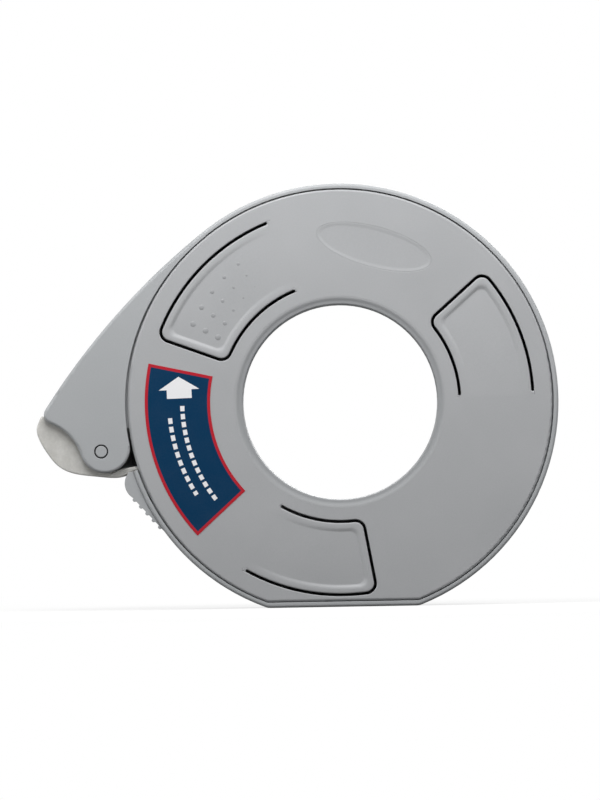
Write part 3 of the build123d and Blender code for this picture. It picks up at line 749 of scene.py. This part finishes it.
def ovalPanel():
    # the bare medallion in the cover's recess, sunk softly towards its middle
    mesh = bmesh.new()
    along = polar(1, oval["lean"])
    across = polar(1, oval["lean"] + pi / 2)

    def ring(inset, depth):
        verts = []
        for step in range(oval["steps"]):
            turn = 2 * pi * step / oval["steps"]
            spot = oval["centre"] + along * ((oval["halfLength"] - inset) * cos(turn))
            spot = spot + across * ((oval["halfHeight"] - inset) * sin(turn))
            verts.append(mesh.verts.new((spot.x, coverFace + depth, spot.y)))
        return verts + verts[:1]

    rings = [ring(-oval["overlap"], oval["recess"])]
    for index in range(oval["rings"] + 1):
        share = index / oval["rings"]
        depth = oval["skin"] + (oval["dip"] - oval["skin"]) * eased(share)
        rings.append(ring(oval["shoulder"] * share - oval["overlap"] * (1 - share), depth))
    for first, second in zip(rings, rings[1:]):
        joinRings(mesh, first, second)
    mesh.faces.new(rings[0][1:])
    mesh.faces.new(rings[-1][1:])
    bmesh.ops.recalc_face_normals(mesh, faces=mesh.faces)
    return meshPiece("oval_panel", mesh, coverPlastic, "cover")


ovalPanel()
print("oval panel")


# the outline's points are millimetres across and up
web = {
    "outline": (
        (-76.5, -15.5), (-73.6, -19.5), (-73.4, -22.3),
        (-76.5, -23.0), (-79.6, -24.0), (-80.5, -21.5),
    ),
    "front": 26.2 * mm,
    "back": 27.4 * mm,
}


def cheekWeb():
    # closes the corner between the rear cheek and the drum, behind the shoe's tail
    mesh = bmesh.new()
    faces = [
        [mesh.verts.new((across * mm, depth, rise * mm)) for across, rise in web["outline"]]
        for depth in (web["front"], web["back"])
    ]
    for face in faces:
        mesh.faces.new(face)
    joinRings(mesh, faces[0] + faces[0][:1], faces[1] + faces[1][:1])
    bmesh.ops.recalc_face_normals(mesh, faces=mesh.faces)
    return meshPiece("rear_cheek_web", mesh, shellPlastic, "housing")


cheekWeb()
print("cheek web")


# radius past the bore's wall and depth behind the cover's face, in millimetres, from the face into the bore
hubLip = {
    "bore": 34.65 * mm,
    "steps": 144,
    "outline": (
        (3.0, 0.0), (2.6, 0.02), (2.3, 0.065), (2.0, 0.15), (1.7, 0.26), (1.4, 0.36),
        (1.1, 0.43), (0.8, 0.46), (0.5, 0.48), (0.35, 0.5), (0.22, 0.55), (0.12, 0.63),
        (0.05, 0.75), (0.015, 0.92), (0.015, 2.6), (0.6, 2.6), (2.4, 0.9),
    ),
}


def makeHubLip():
    # a shallow step inside the cover's edge, then a small round into the bore
    mesh = bmesh.new()
    rings = []
    for past, depth in hubLip["outline"]:
        ring = []
        for step in range(hubLip["steps"]):
            spot = polar(hubLip["bore"] + past * mm, 2 * pi * step / hubLip["steps"])
            ring.append(mesh.verts.new((spot.x, coverFace + depth * mm, spot.y)))
        rings.append(ring + ring[:1])
    for index, ring in enumerate(rings):
        joinRings(mesh, ring, rings[(index + 1) % len(rings)])
    bmesh.ops.recalc_face_normals(mesh, faces=mesh.faces)
    return meshPiece("hub_lip", mesh, lipShadedPlastic, "cover")


makeHubLip()
print("hub lip")


shoe = {
    # millimetres across and up, from the top of the tip round the face to the end of the tail
    "outer": (
        (-106.13, -3.26), (-106.97, -4.98), (-107.79, -7.02), (-107.96, -8.62), (-107.43, -10.75),
        (-105.96, -13.83), (-103.99, -16.92), (-101.98, -19.68), (-99.99, -21.56), (-97.29, -23.13),
        (-94.2, -24.1), (-90.0, -24.72), (-86.6, -25.08), (-83.6, -25.47), (-81.3, -25.64), (-79.77, -25.67),
        (-78.03, -25.5), (-76.5, -24.9), (-74.87, -23.8), (-73.3, -23.2), (-71.99, -23.05), (-70.65, -22.95),
    ),
    "tailTop": (
        (-78.9, -22.71), (-77.41, -22.35), (-76.05, -22.09),
        (-74.03, -21.77), (-72.39, -21.62), (-70.65, -21.45),
    ),
    "earTop": (-101.75, -2.89),
    "root": -81.3 * mm,
    "earRadius": 6.4 * mm,
    "earTurn": (-25, 71),  # degrees from +X round the pin
    "earSteps": 24,
    "earFlatSteps": 4,
    "halfWidth": 25.6 * mm,
    "tailNarrower": 0.6 * mm,
    "narrowOver": 2.5 * mm,
    "wall": 1.8 * mm,
    "pitch": 1.0 * mm,
    "holeRadius": 2.13 * mm,
    "bossRadius": 3.9 * mm,
    "bossHeight": 1.6 * mm,
    "holeSteps": 48,
    "tailSteps": 16,
    "edgeRound": 0.45 * mm,
    "edgeSegments": 3,
}


def easedLine(corners, pitch):
    # a cubic B-spline along the corners, with a point about every pitch
    padded = [corners[0] * 2 - corners[1], *corners, corners[-1] * 2 - corners[-2]]
    line = [corners[0]]
    for a, b, c, d in zip(padded, padded[1:], padded[2:], padded[3:]):
        steps = max(1, round((c - b).length / pitch))
        for step in range(1, steps + 1):
            t = step / steps
            spot = a * (1 - t) ** 3 + b * (3 * t ** 3 - 6 * t ** 2 + 4)
            spot = spot + c * (-3 * t ** 3 + 3 * t ** 2 + 3 * t + 1) + d * t ** 3
            line.append(spot / 6)
    return line


def evenly(line, count):
    # the same line with this many points, evenly spaced
    lengths = [0.0]
    for first, second in zip(line, line[1:]):
        lengths.append(lengths[-1] + (second - first).length)
    spots, index = [], 0
    for step in range(count):
        reach = lengths[-1] * step / (count - 1)
        while index < len(line) - 2 and lengths[index + 1] < reach:
            index += 1
        share = (reach - lengths[index]) / (lengths[index + 1] - lengths[index])
        spots.append(line[index].lerp(line[index + 1], share))
    return spots


def shoeShell():
    # frosted tray: one wall that runs on into the tail, two ears on the pin, an open top
    mesh = bmesh.new()
    outer = easedLine([Vector(spot) * mm for spot in shoe["outer"]], shoe["pitch"])
    root = min(range(len(outer)), key=lambda index: abs(outer[index].x - shoe["root"]))
    tailLow = evenly(outer[root:], shoe["tailSteps"])
    face = outer[:root] + tailLow[:1]
    inner = []
    for index in range(1, len(face)):
        onward = outer[index + 1] - outer[index - 1]
        inner.append(face[index] + Vector((-onward.y, onward.x)).normalized() * shoe["wall"])
    earTop = Vector(shoe["earTop"]) * mm
    lip = face[0].lerp(earTop, shoe["wall"] / (earTop - face[0]).length)
    inner = [lip] + [spot for spot in inner if (spot - lip).length > shoe["pitch"] and spot.y < lip.y]
    tailTop = easedLine([inner[-1]] + [Vector(spot) * mm for spot in shoe["tailTop"]], shoe["pitch"])
    tailTop = evenly(tailTop, shoe["tailSteps"])
    pin = Vector(pinPlace)
    first, last = (radians(turn) for turn in shoe["earTurn"])
    ear = [inner[-1]]
    for step in range(shoe["earSteps"] + 1):
        ear.append(pin + polar(shoe["earRadius"], first + (last - first) * step / shoe["earSteps"]))
    flatSteps = shoe["earFlatSteps"]
    ear += [ear[-1].lerp(earTop, step / flatSteps) for step in range(1, flatSteps)] + [earTop, lip]

    def line(spots, depth):
        return [mesh.verts.new((spot.x, depth, spot.y)) for spot in spots]

    def tailLine(spots, side):
        # past the root the tail is a little narrower than the face
        verts = line(spots, 0.0)
        for vert in verts:
            narrow = min(max((vert.co.x - face[-1].x) / shoe["narrowOver"], 0.0), 1.0)
            vert.co.y = side * (shoe["halfWidth"] - shoe["tailNarrower"] * narrow)
        return verts

    innerHalf = shoe["halfWidth"] - shoe["wall"]
    sides = []
    for side in (-1, 1):
        parts = {
            "face": tailLine(face, side),
            "tailLow": tailLine(tailLow[1:], side),
            "tailTop": tailLine(tailTop[1:], side),
            "ear": line(ear, side * shoe["halfWidth"]),
            "inner": line(inner, side * innerHalf),
            "innerEar": line(ear[1:-1], side * innerHalf),
        }
        parts["innerEar"] = [parts["inner"][-1]] + parts["innerEar"] + [parts["inner"][0]]
        joinRings(mesh, parts["ear"], parts["innerEar"])
        joinRings(mesh, [parts["face"][-1]] + parts["tailLow"], [parts["ear"][0]] + parts["tailTop"])
        bossEnd = innerHalf - shoe["bossHeight"]
        depths = (shoe["halfWidth"], bossEnd, bossEnd, innerHalf)
        radii = (shoe["holeRadius"], shoe["holeRadius"], shoe["bossRadius"], shoe["bossRadius"])
        rings = []
        turns = [2 * pi * step / shoe["holeSteps"] for step in range(shoe["holeSteps"])]
        for depth, radius in zip(depths, radii):
            rings.append(line([pin + polar(radius, turn) for turn in turns], side * depth))
        for near, far in zip(rings, rings[1:]):
            joinRings(mesh, near + near[:1], far + far[:1])
        holedFace(mesh, parts["face"] + parts["ear"], rings[0], pin)
        holedFace(mesh, parts["inner"][:-1] + parts["innerEar"][:-1], rings[-1], pin)
        sides.append(parts)
    near, far = sides
    joinRings(mesh, near["face"] + near["tailLow"], far["face"] + far["tailLow"])
    joinRings(mesh, near["tailTop"] + near["tailLow"][-1:], far["tailTop"] + far["tailLow"][-1:])
    joinRings(mesh, near["inner"], far["inner"])
    for index, beyond in ((0, "tailTop"), (-1, "face")):
        mesh.faces.new([
            near["ear"][index], near["innerEar"][index], far["innerEar"][index],
            far["ear"][index], far[beyond][0], near[beyond][0],
        ])
    bmesh.ops.recalc_face_normals(mesh, faces=mesh.faces)
    piece = meshPiece("applicator_shoe_shell", mesh, shoePlastic, "shoe")
    bevel = piece.modifiers.new("edges", "BEVEL")
    bevel.width = shoe["edgeRound"]
    bevel.segments = shoe["edgeSegments"]
    bevel.limit_method = "ANGLE"
    bevel.angle_limit = radians(sharpAngle)
    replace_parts(piece, "applicator_shoe")


def holedFace(mesh, loop, hole, centre):
    # a flat side with a round hole, as two faces that meet left and right of the hole
    half = len(hole) // 2
    level = [abs(vert.co.z - centre.y) + (0 if vert.co.x > centre.x else 1) for vert in loop]
    right = level.index(min(level))
    level = [abs(vert.co.z - centre.y) + (0 if vert.co.x < centre.x else 1) for vert in loop]
    left = level.index(min(level))
    turned = loop[left:] + loop[:left]
    turnedRight = (right - left) % len(loop)
    mesh.faces.new(turned[:turnedRight + 1] + hole[:1] + hole[:half - 1:-1])
    mesh.faces.new(turned[turnedRight:] + turned[:1] + hole[half::-1])


shoeShell()
print("shoe")


spring = {"fixedLeg": -8.1 * mm, "shoeLeg": -3.4 * mm, "merge": 0.001 * mm}


def windingSpring():
    # a merged copy of the coil, which is not wound here: on the real spring the coil winds up as the shoe
    # swings, one leg staying on the housing's post and the other going with the shoe
    mesh = bmesh.new()
    mesh.from_mesh(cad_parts["shoe_spring"].data)
    bmesh.ops.remove_doubles(mesh, verts=mesh.verts, dist=spring["merge"])
    piece = meshPiece("winding_spring", mesh, platedSteel, None)
    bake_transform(piece)
    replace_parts(piece, "shoe_spring")


windingSpring()
print("spring")


shot = {
    "distance": 6.0,  # from the cover's face; a long lens, because the photograph shows no wall in the bore
    "tall": 283.8 * mm,  # what the frame's height covers there
    "aim": (-14.2 * mm, 0.9 * mm),
    "stand": (7 * mm, -15 * mm),
    "roll": -1.0,  # degrees
    "sensor": 36.0,
    "clip": (0.05, 20),
}


def makeCamera():
    data = bpy.data.cameras.new("camera")
    data.sensor_fit = "AUTO"
    data.sensor_width = shot["sensor"]
    data.lens = shot["sensor"] * shot["distance"] / shot["tall"]
    data.clip_start, data.clip_end = shot["clip"]
    camera = bpy.data.objects.new("camera", data)
    scene.collection.objects.link(camera)
    target = Vector((shot["aim"][0], coverFace, shot["aim"][1]))
    place = Vector((shot["stand"][0], coverFace - shot["distance"], shot["stand"][1]))
    looking = (target - place).to_track_quat("-Z", "Y").to_matrix()
    turned = looking @ Matrix.Rotation(radians(shot["roll"]), 3, "Z")
    camera.matrix_world = Matrix.Translation(place) @ turned.to_4x4()
    scene.camera = camera


# metres and watts
lamps = {
    "leftKey": {"place": (-0.1, -0.25, 0.34), "aim": (0, 0, 0.05), "size": 0.25, "power": 1.45},
    "rightKey": {"place": (0.25, -0.25, 0.3), "aim": (0, 0, 0.05), "size": 0.25, "power": 0.87},
    "leftBox": {"place": (-0.5, -0.16, -0.02), "aim": (0, 0, 0), "size": 0.3, "power": 0.9},
    "backBox": {"place": (0.15, 0.75, 0.45), "aim": (0, 0, 0), "size": 0.6, "power": 5.0},
}
# metres and shares; haze is the share of plain white near the object, bounce how much light the floor
# throws back up, ambient the world's light on the object
room = {
    "ambient": 0.28,
    "reach": 8.0,
    "near": 0.1,
    "far": 0.5,
    "haze": 0.78,
    "bounce": 0.16,
    "paper": 0.93,
    "gap": 0.05 * mm,
}


def makeLamp(name, facts):
    data = bpy.data.lights.new(name, "AREA")
    data.shape = "SQUARE"
    data.size = facts["size"]
    data.energy = facts["power"]
    lamp = bpy.data.objects.new(name, data)
    scene.collection.objects.link(lamp)
    lamp.visible_camera = False
    lamp.location = facts["place"]
    looking = Vector(facts["aim"]) - Vector(facts["place"])
    lamp.rotation_euler = looking.to_track_quat("-Z", "Y").to_euler()


def makeWorld():
    # plain white to the camera and in reflections, and a soft even light for the rest
    world = bpy.data.worlds.new("studio")
    scene.world = world
    world.use_nodes = True
    world.node_tree.nodes.clear()
    path = Wire(world.node_tree).add("ShaderNodeLightPath")
    seen = path.socket.node.outputs
    white = Wire(path.tree, seen["Is Camera Ray"]).most(Wire(path.tree, seen["Is Glossy Ray"]))
    white = white.most(Wire(path.tree, seen["Is Transmission Ray"]))
    level = white * (1.0 - room["ambient"]) + room["ambient"]
    sky = path.add("ShaderNodeBackground", {}, {"Color": grey(1.0), "Strength": level})
    path.add("ShaderNodeOutputWorld", {}, {"Surface": sky})


def makeFloor():
    # pale near the object, where it keeps the shadow, and plain white far off
    material = bpy.data.materials.new("floorWhite")
    material.use_nodes = True
    material.node_tree.nodes.clear()
    coords = Wire(material.node_tree).add("ShaderNodeTexCoord", out=3)
    away = coords.add("ShaderNodeVectorMath", {"operation": "LENGTH"}, {0: coords}, out=1)
    cameraRay = coords.add("ShaderNodeLightPath")
    fade = (away.step(room["near"], room["far"]) * (1 - room["haze"]) + room["haze"]) * cameraRay
    tone = mixColours(cameraRay, grey(room["bounce"]), grey(room["paper"]))
    paper = coords.add("ShaderNodeBsdfDiffuse", {}, {"Color": tone})
    glow = coords.add("ShaderNodeEmission", {}, {"Color": grey(1.0), "Strength": 1.0})
    both = coords.add("ShaderNodeMixShader", {}, {0: fade, 1: paper, 2: glow})
    coords.add("ShaderNodeOutputMaterial", {}, {"Surface": both})
    mesh = bmesh.new()
    corners = ((-1, -1), (1, -1), (1, 1), (-1, 1))
    mesh.faces.new([mesh.verts.new((x * room["reach"], y * room["reach"], 0)) for x, y in corners])
    data = bpy.data.meshes.new("floor")
    mesh.to_mesh(data)
    mesh.free()
    data.materials.append(material)
    floor = bpy.data.objects.new("floor", data)
    floor.location.z = cadBox[0].z - room["gap"]  # so that it doesn't share a plane with the foot
    scene.collection.objects.link(floor)


makeCamera()
for lampName, lampFacts in lamps.items():
    makeLamp(lampName, lampFacts)
makeWorld()
makeFloor()
scene.view_settings.view_transform = "Standard"
print("camera, light and floor")
